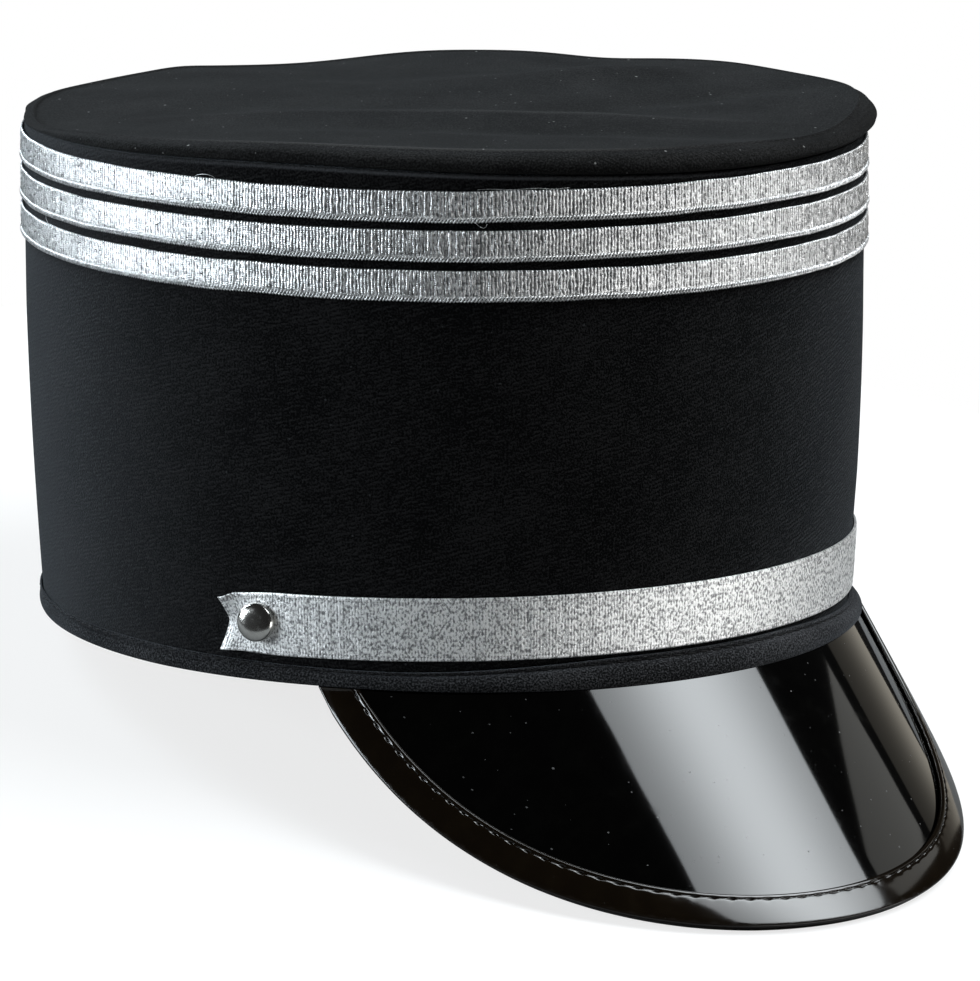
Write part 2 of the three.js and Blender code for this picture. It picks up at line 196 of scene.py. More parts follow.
def standAt(thing, right, up, back, place):
    # the object's three axes and its place become the columns of its matrix
    thing.matrix_world = Matrix([*np.stack([right, up, back, place], -1).tolist(), [0, 0, 0, 1]])


def addPiece(name, mesh, material, node=None):
    # the mesh as a piece of the hat, standing for its solid where it has one
    piece = addObject(name, mesh)
    mesh.materials.append(material)
    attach(piece, "root")
    if node:
        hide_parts(node)
    print("piece:", name, len(mesh.polygons), "faces")


class Wire:
    # one socket of a material; operators on it add Math nodes
    def __init__(self, tree, socket=None):
        self.tree, self.socket = tree, socket

    def add(self, kind, settings=None, sockets=None, out=0):
        # any node: its type, its settings first, then the values or links of its sockets
        node = self.tree.nodes.new("ShaderNode" + kind)
        for key, value in (settings or {}).items():
            setattr(node, key, value)
        for key, value in (sockets or {}).items():
            if isinstance(value, Wire):
                self.tree.links.new(value.socket, node.inputs[key])
            else:
                node.inputs[key].default_value = value
        return Wire(self.tree, node.outputs[out])

    def other(self, name):
        return Wire(self.tree, self.socket.node.outputs[name])

    def math(self, operation, *values):
        return self.add("Math", {"operation": operation}, dict(enumerate(values)))

    def __add__(self, value):
        return self.math("ADD", self, value)

    def __sub__(self, value):
        return self.math("SUBTRACT", self, value)

    def __rsub__(self, value):
        return self.math("SUBTRACT", value, self)

    def __mul__(self, value):
        return self.math("MULTIPLY", self, value)

    def __truediv__(self, value):
        return self.math("DIVIDE", self, value)

    def cloth(self):
        # place on the cloth that the mesh keeps as its uv: both ways together, then across and up
        uv = self.add("UVMap", {"uv_map": "cloth"})
        across = self.add("SeparateXYZ", {}, {"Vector": uv})
        return uv, across, across.other("Y")
    def floor(self):
        return self.math("FLOOR", self)

    def wave(self):
        # 1 at whole numbers, 0 half way between them
        return self.math("COSINE", self * (2 * np.pi)) * 0.5 + 0.5

    def between(self, low, high):
        # 0 below low, 1 above high, an S-curve between; the other way round where low is the larger
        return self.add("MapRange", {"interpolation_type": "SMOOTHSTEP"},
                        {"Value": self, "From Min": low, "From Max": high})

    def blend(self, dark, light):
        # colour from dark to light by this value
        ends = [c if isinstance(c, Wire) else (*c, 1) for c in (dark, light)]
        return self.add("Mix", {"data_type": "RGBA"}, {0: self, 6: ends[0], 7: ends[1]}, out=2)

    def noise(self, scale, detail=2, stretch=(1, 1, 1)):
        # cloudy values round 0.5 from this vector, times the scale
        spread = self.add("VectorMath", {"operation": "MULTIPLY"}, {0: self, 1: stretch})
        return self.add("TexNoise", {"noise_dimensions": "3D"},
                        {"Vector": spread, "Scale": scale, "Detail": detail, "Roughness": 0.55})

    def chanceOf(self, a, b):
        # one chance value from 0 to 1 for each pair of whole numbers
        pair = self.add("CombineXYZ", {}, {"X": a, "Y": b})
        return self.add("TexWhiteNoise", {"noise_dimensions": "2D"}, {"Vector": pair})

    def specks(self, scale, band, size, soft):
        # scattered dots on this vector: 1 inside a dot, whose radius follows a slow noise up to the size
        away = self.add("TexVoronoi", {"feature": "F1", "voronoi_dimensions": "2D"}, {"Vector": self, "Scale": scale})
        return (self.noise(0.17, 1).between(*band) * size - away).between(0.0, soft)

    def bump(self, distance, strength=0.9):
        # this value as a height: 1 stands that many metres proud
        return self.add("Bump", {}, {"Strength": strength, "Distance": distance, "Height": self})


def startMaterial(name, fixed):
    # a material with its shader, the fixed values set on the shader's own sockets
    material = bpy.data.materials.new(name)
    material.use_nodes = True
    tree = material.node_tree
    shader = tree.nodes["Principled BSDF"]
    for key, value in fixed.items():
        shader.inputs[key].default_value = (*value, 1) if isinstance(value, tuple) else value
    return material, Wire(tree), shader


def feed(shader, **links):
    # links what varies over the surface to the shader: baseColor becomes Base Color
    for key, wire in links.items():
        socket = "".join(" " + c if c.isupper() else c for c in key)
        shader.id_data.links.new(wire.socket, shader.inputs[socket[0].upper() + socket[1:]])


# black twill: sizes in mm along the cloth, twill lines rising gently towards the front
twillLook = {
    "crown": {"dark": (0.0016, 0.0016, 0.0018), "light": (0.0138, 0.0137, 0.014), "linePitch": 0.95, "lineDeg": 14,
              "ridge": 0.45, "sheen": 0.09, "sheenTint": (0.84, 0.92, 1.0), "bump": 0.0003,
              "lint": (0.03, 0.031, 0.033), "worn": (0.056, 0.058, 0.062)},
    "top": {"dark": (0.0056, 0.0056, 0.0056), "light": (0.0195, 0.0196, 0.0196), "linePitch": 0.8, "lineDeg": 45,
            "ridge": 0.3, "sheen": 0.016, "sheenTint": (0.9, 0.96, 1.0), "bump": 0.00014, "lint": (0.16, 0.16, 0.157),
            "worn": (0.036, 0.036, 0.0355)},
    "hem": {"dark": (0.0056, 0.0057, 0.0061), "light": (0.052, 0.053, 0.056), "linePitch": 0.6, "lineDeg": 78,
            "ridge": 0.15, "sheen": 0.1, "sheenTint": (0.8, 0.88, 1.0), "bump": 0.00016, "lint": (0.03, 0.03, 0.032)},
}


def twillCloth(name, look):
    # twill lines are a wave across a slanted direction, cut into short dashes that each have their own tone; fuzz
    # and slow cloudy wear lie over them, and a little lint; where the rise is high the colour turns to pale lint and
    # painted sheen
    material, wire, shader = startMaterial(name, {
        "Roughness": 0.9, "Specular IOR Level": 0.02, "Sheen Weight": look["sheen"],
        "Sheen Roughness": 0.36, "Sheen Tint": look["sheenTint"]})
    uv, across, up = wire.cloth()
    slant = np.radians(look["lineDeg"])
    wobble = uv.noise(0.4, 2) * 0.9
    line = (up * np.cos(slant) + across * np.sin(slant)) / look["linePitch"] + wobble
    run = (across * np.cos(slant) - up * np.sin(slant)) / (look["linePitch"] * 1.6)
    row = (line + 0.5).floor()
    dash = wire.chanceOf(row, (run + wire.chanceOf(row, 2.0)).floor())
    ridge = line.wave() * dash.between(0.1, 0.95)
    fuzz = uv.noise(2.2, 3)
    cloud = uv.noise(0.04, 3)
    tone = ridge * look["ridge"] + (fuzz - 0.5) * 3.2 + (cloud - 0.5) * 0.8 + 0.1
    colour = tone.between(-0.15, 0.75).blend(look["dark"], look["light"])
    # pale lint under the wall's seam, and painted sheen: the wall's sides and the crests of the top painted paler
    if "worn" in look:
        rise = wire.add("Attribute", {"attribute_name": "rise"}, out="Fac")
        colour = (rise * (fuzz * 0.8 + 0.6)).between(0.15, 1.1).blend(colour, look["worn"])
    colour = uv.specks(0.15, (0.38, 0.78), 0.06, 0.025).blend(colour, look["lint"])
    height = ridge * look["ridge"] + fuzz * 1.1
    feed(shader, baseColor=colour, normal=height.bump(look["bump"]))
    return material


# woven silver ribbon: u counts the cords, v is mm up from the lower edge; valley is the colour of the painted shade in
# the dips
braidLook = {"silver": (0.98, 0.98, 0.98), "shade": (0.46, 0.462, 0.466), "valley": (0.13, 0.131, 0.133),
             "rough": 0.27, "bead": 0.5, "pitch": 0.75, "bump": 0.00008}


def braidSilver(name, look):
    # silver on the proud threads and painted shade in the dips, at the foot behind the chain and on the rim, all read
    # from the mesh's rise; each bead of a cord has its own tone, and fine crumpling scatters the light
    material, wire, shader = startMaterial(name, {"Specular IOR Level": 0.5})
    _, u, v = wire.cloth()
    rise = wire.add("Attribute", {"attribute_name": "rise"}, out="Fac")
    cord = (u + 0.5).floor()
    beadPlace = v / look["bead"] + wire.chanceOf(cord, 3.0)
    tone = wire.chanceOf(cord, beadPlace.floor())
    cloth = wire.add("CombineXYZ", {}, {"X": u * look["pitch"], "Y": v})
    grain = cloth.noise(3.6, 3)
    cloud = cloth.noise(0.28, 2)
    shine = tone * 0.5 + (grain - 0.5) * 1.7 + (cloud - 0.5) * 1.5 + 0.35
    silver = shine.between(0.05, 0.85).blend(look["shade"], look["silver"])
    colour = (rise + (grain - 0.5) * 0.9).between(0.0, 0.55).blend(look["valley"], silver)
    height = tone * 0.5 + grain * 1.3 + (beadPlace + 0.5).wave() * 0.4
    feed(shader, baseColor=colour, metallic=rise.between(0.0, 0.4) * 0.25 + 0.68,
         roughness=tone * 0.16 + look["rough"], normal=height.bump(look["bump"]))
    return material


# finer silver ribbon of the strap: softer cords, a speckled face and a dotted line inside both edges; valley is the
# colour of the painted shade between the cords
strapLook = {"silver": (0.99, 0.99, 0.985), "shade": (0.38, 0.382, 0.386), "valley": (0.1, 0.1, 0.103),
             "rough": 0.4, "fleck": 0.5, "fine": 0.2, "pitch": 0.7, "width": 14.2, "bump": 0.00008}


def strapSilver(name, look):
    # flecks are chance values on a fine grid of cords and rows over slow blotches; the cords are a shallow wave in u,
    # and the colour darkens towards the valley between them as painted shade
    material, wire, shader = startMaterial(name, {"Specular IOR Level": 0.5})
    _, u, v = wire.cloth()
    cord = (u * 1.5).floor()
    row = (v / look["fleck"] + wire.chanceOf(cord, 5.0) * 0.5).floor()
    fleck = wire.chanceOf(cord, row)
    fine = wire.chanceOf((u * 4).floor(), (v / look["fine"]).floor())
    cloth = wire.add("CombineXYZ", {}, {"X": u * look["pitch"], "Y": v})
    grain = cloth.noise(1.6, 3, (1.2, 0.75, 1))
    blotch = cloth.noise(0.45, 2)
    rib = u.wave()
    shine = fleck * 0.6 + fine * 0.3 + (grain - 0.5) * 3.6 + (blotch - 0.5) * 1.8 + 0.24
    silver = shine.between(0.05, 0.95).blend(look["shade"], look["silver"])
    edge = v.math("MINIMUM", v, look["width"] - v)
    dots = edge.between(0.75, 0.9) * edge.between(1.2, 1.05) * (1 - rib)
    # painted shade: darker between the cords, where the wave in u is low
    solid = ((rib * 0.5 + (grain - 0.5) * 3.6 + 0.25).between(0.0, 0.5) * 0.6 + 0.4) * (1 - dots * 0.6)
    colour = solid.blend(look["valley"], silver)
    height = rib * 0.2 + fleck * 0.5 + fine * 0.3 + grain * 1.6
    feed(shader, baseColor=colour, metallic=solid * 0.15 + 0.83, roughness=fine * 0.16 + look["rough"],
         normal=height.bump(look["bump"]))
    return material


# black patent: roughness, ripple height in metres, dust size in mm, two tones of the film
patentLook = {"peak": {"rough": 0.05, "ripple": 0.00005, "dust": 0.065, "film": (0.0001, 0.0001, 0.0001),
                       "dull": (0.0006, 0.0006, 0.0005)},
              "binding": {"rough": 0.09, "ripple": 0.00005, "dust": 0.03, "film": (0.0034, 0.002, 0.0008),
                          "dull": (0.005, 0.0031, 0.0013), "edge": (8.2, 10.8), "rubbed": (0.007, 0.005, 0.0035)}}


def blackPatent(name, look):
    # black gloss with slow ripples in the film, faint dull patches where it has been handled and a little dust; a cut
    # edge, between two distances along the section, is rubbed dull
    material, wire, shader = startMaterial(name, {"Specular IOR Level": 0.5, "IOR": 1.5})
    place = wire.add("TexCoord", out="Object")
    ripple = place.noise(38, 1)
    dull = place.noise(210, 4)
    film = dull.between(0.35, 0.8).blend(look["film"], look["dull"])
    rough = dull.between(0.55, 0.85) * 0.05 + look["rough"]
    uv, _, along = wire.cloth()
    if "edge" in look:
        near, far = look["edge"]
        rubbed = along.between(near - 0.4, near + 0.3) * along.between(far, near)
        film = rubbed.blend(film, look["rubbed"])
        rough = rough + rubbed * 0.1
    dust = uv.specks(0.2, (0.4, 0.75), look["dust"], 0.02)
    feed(shader, baseColor=dust.blend(film, (0.05, 0.05, 0.05)), roughness=rough + dust * 0.4,
         normal=ripple.bump(look["ripple"], 1.0))
    return material


# plating of the studs: two tones and its roughness
chromeLook = {"bright": (0.66, 0.65, 0.62), "scuffed": (0.58, 0.57, 0.54), "rough": 0.17}


def polishedChrome(name, look):
    # bright plating with fine scuffs that roughen it a little
    material, wire, shader = startMaterial(name, {"Metallic": 1.0})
    scuff = wire.add("TexCoord", out="Object").noise(900, 3)
    feed(shader, baseColor=scuff.between(0.3, 0.8).blend(look["bright"], look["scuffed"]),
         roughness=scuff.between(0.5, 0.8) * 0.1 + look["rough"])
    return material


# metal-covered thread of the chains, and black sewing thread: scale and detail of the plies, and two tones
threadLook = {"chain": {"fixed": {"Metallic": 0.9}, "plies": (1500, 2), "band": (0.3, 0.7),
                        "dark": (0.4, 0.4, 0.405), "light": (0.88, 0.88, 0.88)},
              "sewing": {"fixed": {"Specular IOR Level": 0.2}, "plies": (2600, 1), "band": (0.35, 0.65),
                         "dark": (0.0006, 0.0006, 0.0008), "light": (0.003, 0.003, 0.0036)}}


def twistedThread(name, look, rough):
    # plies as a fine noise that changes the tone and the roughness along the thread
    material, wire, shader = startMaterial(name, look["fixed"])
    ply = wire.add("TexCoord", out="Object").noise(*look["plies"])
    feed(shader, baseColor=ply.between(*look["band"]).blend(look["dark"], look["light"]), roughness=ply * 0.2 + rough)
    return material


crownTwill, topTwill, hemTwill = (twillCloth(key + "Twill", twillLook[key]) for key in ("crown", "top", "hem"))
silverBraid = braidSilver("silverBraid", braidLook)
silverStrap = strapSilver("silverStrap", strapLook)
patentPeak = blackPatent("patentPeak", patentLook["peak"])
patentBinding = blackPatent("patentBinding", patentLook["binding"])
chrome = polishedChrome("rivetChrome", chromeLook)
glossThread = twistedThread("bindingThread", threadLook["sewing"], 0.42)
mattThread = twistedThread("hemThread", threadLook["sewing"], 0.55)
chainThread = twistedThread("chainThread", threadLook["chain"], 0.36)
print("materials:", len(bpy.data.materials))

# upright oval crown: sizes in mm at the hem, angles in degrees from the front towards the wearer's right; distances
# round it are taken at the arc level
crown = {"length": 196.0, "width": 180.2, "height": 114.0, "flare": 0.03, "swell": 1.3, "arcLevel": 50.0}


def wallPoint(angle, level, out):
    # oval that grows evenly with height and swells as 4h(1-h) at mid height, moved out from its outer face
    share = level / crown["height"]
    grow = 1 + crown["flare"] * share
    swell = crown["swell"] * 4 * share * (1 - share) + out
    a = np.radians(angle)
    x = -(crown["width"] / 2 * grow + swell) * np.sin(a)
    y = -(crown["length"] / 2 * grow + swell) * np.cos(a)
    return joined(x, y, np.asarray(level, float))


# distance round the oval from its front, in mm, against the angle
ovalAngle = np.linspace(-180, 180, 2881)
ovalArc = rowLengths(wallPoint(ovalAngle, crown["arcLevel"], 0.0))
ovalArc -= ovalArc[len(ovalArc) // 2]
ovalLength = ovalArc[-1] - ovalArc[0]


def arcAt(angle):
    # distance round the oval from its front at an angle
    return np.interp(angle, ovalAngle, ovalArc)


def angleAtArc(arc):
    # angle at a distance round the oval from its front
    return np.interp(arc, ovalArc, ovalAngle)


# lip of the top: heights of its seam and its crest in mm, at equal steps round the hat from the back
lip = {"seam": [110.6, 110.7, 110.8, 111.0, 111.0, 111.2, 111.5, 113.2, 114.4, 112.8, 111.7, 111.0],
       "crest": [113.2, 113.9, 115.4, 117.0, 118.2, 117.2, 116.8, 117.9, 118.3, 115.6, 114.2, 113.7]}
# hem roll: mm, and the angles between which one part passes into the next
hem = {"height": 3.2, "riseFront": 2.6, "riseDeg": (10, 48), "sagSide": 1.1, "sagBack": 2.7, "sagDeg": (45, 85),
       "bulgeFront": 3.0, "bulgeSide": 0.3, "bulgeBack": 1.8, "bulgeDeg": (40, 80), "backDeg": (118, 160),
       "columns": 840, "groove": 0.05, "pull": 0.28, "pucker": (70, 0.05), "stitchPitch": 3.5, "stitchLevel": 0.83,
       "stitchGap": 0.14, "threadRadius": 0.2, "threadOut": 0.35, "threadArch": 0.22}


def roundTable(values, angle):
    # closed cubic through values that stand at equal steps round the hat from the back
    v = np.asarray(values)
    place = (angle + 180) / 360 * len(v)
    row = np.floor(place).astype(int)
    return cubic(*(v[(row + k) % len(v)] for k in (-1, 0, 1, 2)), place - row)


def hemFoot(angle):
    # lower edge of the hem: level in front, lower at the sides and lowest at the back
    side, back = smooth(*hem["sagDeg"], np.abs(angle)), smooth(*hem["backDeg"], np.abs(angle))
    return -hem["sagSide"] * side - (hem["sagBack"] - hem["sagSide"]) * back


def hemHead(angle):
    # upper edge of the hem roll, higher in front
    return hem["height"] + hem["riseFront"] * (1 - smooth(*hem["riseDeg"], np.abs(angle)))


def hemBulge(angle):
    # how far the roll stands out from the wall: most over the peak, least at the sides
    side, back = smooth(*hem["bulgeDeg"], np.abs(angle)), smooth(*hem["backDeg"], np.abs(angle))
    return mix(mix(hem["bulgeFront"], hem["bulgeSide"], side), hem["bulgeBack"], back)


# wall: rows as shares of the way up, the plain part in mm between the strap and the ribbons, two slow waves, a lint
# line under the seam and painted sheen towards both sides
wall = {"columns": 300, "rows": ((0, 0.95, 48), (0.955, 1, 16)), "innerRows": 12, "thickness": 2.0,
        "footAboveHem": 0.6, "sway": 0.3, "waves": ((7, 1.0), (11, 0.6)), "plainFrom": (19, 34), "plainTo": (66, 83),
        "lint": 0.9, "lintDrop": 0.6, "lintSpread": 0.45, "lintDeg": (32, 42), "fade": 0.5, "fadeDeg": (114, 55)}


def crownWall():
    # outer face up from the hem to the lip's seam, inner face down again; slow waves move the plain part of the wall;
    # the cloth is paler in a lint line under the seam, and painted paler towards both sides as painted sheen
    angle = np.linspace(-180, 180, wall["columns"], endpoint=False)[None, :]
    foot = hemFoot(angle) + wall["footAboveHem"]
    head = roundTable(lip["seam"], angle) - seat / 2
    up = np.concatenate([np.linspace(*part) for part in wall["rows"]])[:, None]
    down = np.linspace(1, 0, wall["innerRows"])[:, None]
    outerLevel = mix(foot, head, up)
    middle, upper = (drift(wall["columns"], *part) for part in wall["waves"])
    waves = middle * np.sin(np.pi * up * 1.3) + upper * up
    plain = smooth(*wall["plainFrom"], outerLevel) * (1 - smooth(*wall["plainTo"], outerLevel))
    outer = wallPoint(angle, outerLevel, wall["sway"] * waves * plain)
    inner = wallPoint(angle, mix(foot, head, down), -wall["thickness"] + 0 * angle)
    points = np.concatenate([outer, inner])
    arc = np.append(arcAt(angle[0]), ovalArc[-1])
    level = np.concatenate([np.append(p[..., 2], p[:, :1, 2], 1) for p in (outer, inner, outer[:1])])
    lint = wall["lint"] * bell(outerLevel, head - wall["lintDrop"], wall["lintSpread"]) * bell(angle, *wall["lintDeg"])
    # painted sheen: the colour is lifted towards both sides, where the light grazes the wall
    fade = wall["fade"] * bell(np.abs(angle), *wall["fadeDeg"])
    worn = np.concatenate([lint + fade, np.zeros((wall["innerRows"], wall["columns"]))])
    return gridMesh("crownWall", points, joined(arc[None, :], level), around=True, closed=True, sharpDeg=50, rise=worn)


addPiece("crown_cloth_wall", crownWall(), crownTwill, "crown_wall")

# soft top: folds are x, y, heading in degrees, reach, spread, rise, and how crisp the crest of the fold is; the crest
# of the lip lies in from the edge by insets at equal steps round from the back, and dips by angle, spread and fall
top = {"middle": 116.2, "thickness": 1.6, "overhang": 0.058, "columns": 360, "rows": 70, "fieldEdge": 0.985,
       "underRows": 16, "underEdge": 0.97, "slack": 0.12,
       "folds": [(-4, -38, -45, 66, 9, 1.3, 0.4), (-17, -55, -44, 66, 8, -1.0, 0.0), (2, -22, -42, 55, 9, -0.6, 0.0),
                 (48, 4, -8, 36, 15, 2.5, 0.0), (52, -35, -4, 36, 10, -2.0, 0.0), (36, 12, -31, 40, 8, 0.5, 0.0),
                 (30, 44, -25, 45, 13, -0.7, 0.0)],
       "insets": [4.2, 4.2, 3.2, 2.0, 1.7, 2.0, 4.2, 5.0, 5.0, 4.2, 2.6, 3.6],
       "dips": [(-162.5, 14.7, 1.5), (-144, 9.9, -0.4), (-116.3, 9.0, 1.3), (-105, 10.4, 0.7), (-81, 14.7, 1.1),
                (-66.6, 12, 0.5), (-22, 15, 1.7), (116.4, 16, 1.9), (156, 13.4, 0.7), (176.8, 5.6, -0.4)],
       # rows down the lip: shares of the inset, the overhang and the height over the seam, a lift in mm, the rumples
       "lipRows": [(1.0, 0, 1, 0.02, 0), (0.84, 0, 1, 0.34, 0), (0.64, 0, 1, 0.408, 0), (0.46, 0.06, 0.97, 0, 0),
                   (0.2, 0.42, 0.88, 0, 0.5), (0, 0.78, 0.68, 0, 1), (-0.02, 1, 0.4, 0, 1.2),
                   (-0.02, 0.85, 0.2, 0, 0.8), (-0.06, 0.3, 0.05, 0, 0.3), (0.05, 0, 0, 0, 0), (0.35, 0, 0, 0, 0)],
       # the crests of the crisp folds and a band along the lip's crest are painted paler: painted highlight
       "pucker": 0.16, "puckerWaves": ((60, 1.6), (24, 1.0)), "foldWorn": 0.6, "lipWorn": 0.85, "lipHighlightDeg": (43, 52)}


def topFolds(x, y):
    # bells along each fold with a crisp crest, and how much of the crest is painted paler as a painted highlight
    folds, worn = 0, 0
    for fx, fy, heading, reach, spread, rise, crisp in top["folds"]:
        c, s = np.cos(np.radians(heading)), np.sin(np.radians(heading))
        along = bell((x - fx) * c + (y - fy) * s, 0, reach)
        across = np.abs((y - fy) * c - (x - fx) * s) / spread
        folds = folds + along * (rise * np.exp(-across**2) + crisp * np.exp(-across * 5))
        worn = worn + along * np.sign(crisp) * top["foldWorn"] * bell(across, 0, 0.3)
    return folds, worn


def topPanel():
    # field from the middle to the crest, then the puffed lip down to its seam, and the same lowered on the under side
    columns = top["columns"]
    angle = np.linspace(-180, 180, columns, endpoint=False)[None, :]
    crest = roundTable(lip["crest"], angle)
    seam = roundTable(lip["seam"], angle) + seat / 2
    puff = top["overhang"] * (crest - seam) ** 2
    crest = crest - sum(fall * bell((angle - middle + 180) % 360, 180, spread) for middle, spread, fall in top["dips"])
    inset = roundTable(top["insets"], angle)
    pucker = top["pucker"] * sum(drift(columns, *part) for part in top["puckerWaves"])

    def field(share, drop):
        # level from the middle to the crest by the square of the share; the folds fade out at the edge
        edge = wallPoint(angle, crest, -inset)
        x, y = edge[..., 0] * share, edge[..., 1] * share
        slack = top["slack"] * np.sin(x / 7 + np.sin(y / 13)) * np.sin(y / 9 + 1) * smooth(0, 0.3, share)
        level = mix(top["middle"], crest, share**2) + topFolds(x, y)[0] * (1 - share**6)
        return np.stack([x, y, level + slack - drop], -1)

    def lipRow(share, overhang, rise, lift, rumple):
        # one row of the lip, moved out by its part of the overhang and in by its part of the inset
        level = mix(seam, crest, rise) + lift
        return wallPoint(angle, level, puff * overhang - inset * share + rumple * pucker)[0]

    inner = field(np.linspace(0, top["fieldEdge"], top["rows"])[:, None], 0)
    lipRows = np.stack([inner[-1], *(lipRow(*row) for row in top["lipRows"])])
    outer = np.concatenate([inner[:-1], cutCorners(lipRows, 2)])
    under = field(np.linspace(top["underEdge"], 0, top["underRows"])[:, None], top["thickness"])
    points = np.concatenate([outer, under])
    outerRun = rowLengths(outer)
    run = np.concatenate([outerRun, outerRun[-1:] + rowLengths(under)])
    a = np.radians(np.append(angle[0], 180.0))
    reach = np.append(run, run[:, :1], 1)
    uv = np.stack([reach * -np.sin(a), reach * -np.cos(a)], -1)
    fromCrest = run - outerRun[len(inner) + 3]
    # painted highlight: the crests of the crisp folds and a band along the lip's crest are painted paler
    worn = topFolds(points[..., 0], points[..., 1])[1]
    worn = worn + top["lipWorn"] * bell(fromCrest, 1.7, 0.9) * bell(angle, *top["lipHighlightDeg"])
    return gridMesh("topPanel", points, uv, around=True, poles=True, rise=worn)


addPiece("soft_top", topPanel(), topTwill, "top_panel")

# ribbons round the crown: lower edges and sizes in mm; rows are heights up the ribbon, the selvage is its upper edge;
# the two shade shares darken the colour at the foot behind the chain and on the rim: painted shade
braid = {"feet": {"braid_lower": 85.75, "braid_middle": 94.4, "braid_upper": 103.05}, "width": 6.85,
         "thickness": 0.6, "cords": 800, "stepsPerCord": 4, "cordDepth": 0.14, "edgeDrop": 0.16, "waver": 0.07,
         "lowRows": (0.62, 0.9, 1.2, 1.5), "faceRows": (2.0, 5.95, 8), "topRows": (6.3, 6.5, 6.68, 6.85),
         "wander": (40, 0.12), "jitter": 0.05, "knots": 0.04, "tall": 0.035, "faceEnd": (6.35, 6.6),
         "selvage": (6.4, 6.6), "selvageDepth": 0.16, "scallop": 0.2, "rim": (6.55, 6.85), "rimShade": 0.9,
         "footDip": 0.26, "paintedFootShade": 0.3, "edgeRise": 0.05}
# chain along the lower edge of a ribbon: mm, and how many cords one turn of it spans
chain = {"top": 1.45, "middle": 0.62, "swing": 0.48, "cords": 2, "radius": 0.23, "out": 0.46, "cross": 0.12,
         "uneven": 0.035, "steps": 6, "sides": 4}


def braidWander():
    # slow wandering of a ribbon's edges, the same for the ribbon and its chain
    return drift(braid["cords"] * braid["stepsPerCord"], *braid["wander"])


def braidRibbon(name, foot, wander):
    # lift off the wall = thickness, rounded off at the upper edge, less the valleys between wavering cords; the foot
    # of the ribbon is low, behind its chain; the rise, 1 on the cords and lower in the valleys, at the foot, rim and
    # back, is painted shade
    cords, steps = braid["cords"], braid["stepsPerCord"]
    columns = cords * steps
    phase = np.arange(columns) / steps

    def eachCord(values):
        return np.roll(np.repeat(values, steps), -steps // 2)

    rows = np.concatenate([braid["lowRows"], np.linspace(*braid["faceRows"]), braid["topRows"]])[:, None]
    sway = braid["waver"] * np.sin(rows * 1.7 + eachCord(chance.uniform(0, 2 * np.pi, cords)))
    arc = (phase / cords - 0.5) * ovalLength + eachCord(chance.normal(0, braid["jitter"], cords)) + sway
    angle = angleAtArc(np.clip(arc, ovalArc[0], ovalArc[-1]))
    valley = 0.5 - 0.5 * np.cos(2 * np.pi * phase)
    body = smooth(chain["top"] - 0.4, chain["top"], rows) * (1 - smooth(*braid["faceEnd"], rows))
    knots = chance.normal(0, braid["knots"], (len(rows), columns)) * body
    uneven = 1 + 0.3 * np.sin(rows * 3.9 + eachCord(chance.uniform(0, 6, cords)))
    dip = braid["cordDepth"] * valley**0.8 * body * uneven
    dip = dip + braid["selvageDepth"] * valley * smooth(*braid["selvage"], rows) + knots
    low = 1 - smooth(chain["top"] - 0.5, chain["top"] - 0.1, rows)
    # painted shade: the rise falls in the valleys, at the foot behind the chain and on the rim, and the colour darkens
    # with it
    rise = np.clip(1 - dip / braid["cordDepth"], 0, 1) * (1 - braid["paintedFootShade"] * low)
    rise = rise * (1 - braid["rimShade"] * smooth(*braid["rim"], rows))
    dip = dip + braid["footDip"] * low
    tall = eachCord(chance.normal(0, braid["tall"], cords)) * body
    lift = braid["thickness"] - braid["edgeDrop"] * (1 - smooth(0, 0.25, braid["width"] - rows)) + tall - dip
    scallop = braid["scallop"] * (0.5 - valley) * smooth(braid["selvage"][0], braid["width"], rows)
    face = wallPoint(angle, foot + rows + scallop + wander, seat + lift)
    back = np.stack([wallPoint(angle[0], foot + w + wander, seat + 0 * phase) for w in (braid["width"], rows[0, 0])])
    points = np.concatenate([face, back])
    # painted shade on the back rows as well
    rise = np.concatenate([rise, np.full((2, columns), braid["edgeRise"])])
    v = np.concatenate([rows[:, 0], [braid["width"], rows[0, 0], rows[0, 0]]])[:, None]
    uv = joined(np.append(phase, cords)[None, :], v)
    return gridMesh(name, points, uv, around=True, closed=True, rise=rise)


def braidChain(name, foot, wander):
    # two threads along the ribbon's lower edge: height swings as a cosine, opposite ways, and each passes over and
    # under the other by turns
    count = braid["cords"] // chain["cords"] * chain["steps"]
    turn = np.arange(count + 1) / chain["steps"] * 2 * np.pi
    way = np.array([[1.0], [-1.0]])
    uneven = chance.normal(0, chain["uneven"], (2, count + 1))
    height = foot + chain["middle"] + way * chain["swing"] * np.cos(turn) + uneven
    height = height + np.interp(np.linspace(0, 1, count + 1), np.linspace(0, 1, len(wander)), wander)
    arc = (np.arange(count + 1) / count - 0.5) * ovalLength + 0 * way
    angle = angleAtArc(arc)
    line = wallPoint(angle, height, seat + chain["out"] + way * chain["cross"] * np.sin(turn) + uneven)
    outward = wallPoint(angle, height, 1.0) - wallPoint(angle, height, 0.0)
    radii = chain["radius"] + 0.4 * uneven
    return tubeMesh(name, line, outward, radii, chain["sides"])


for node, foot in braid["feet"].items():
    wander = braidWander()
    addPiece(node + "_ribbon", braidRibbon(node, foot, wander), silverBraid, node)
    addPiece(node + "_chain", braidChain(node + "Chain", foot, wander), chainThread)

